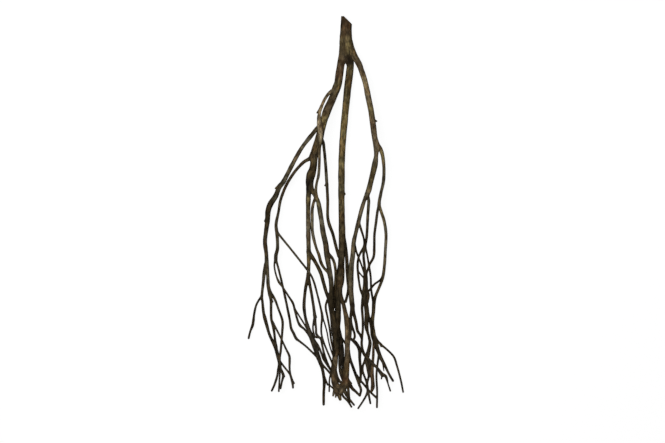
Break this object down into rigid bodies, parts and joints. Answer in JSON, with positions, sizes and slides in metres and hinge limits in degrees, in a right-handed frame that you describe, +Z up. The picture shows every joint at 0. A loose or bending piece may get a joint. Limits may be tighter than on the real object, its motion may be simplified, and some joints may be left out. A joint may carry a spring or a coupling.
{
  "type": "dry root",
  "caption": "Dry woody root lying flat: a sawn crown forks into three limbs that branch into long thin rootlets spreading like a broom.",
  "frame": {"origin": "middle of the bounding box's lower face, on the ground that the root lies on", "axes": "+Y along the root towards the sawn crown, +X to its right seen from above, +Z up"},
  "size_m": [0.3754, 0.9426, 0.0888],
  "materials": {
    "bark": "dry rough bark, olive brown on the limbs and near black on the thin roots"
  },
  "bodies": {
    "root": {"dry_root": "bark"}
  },
  "joints": []
}
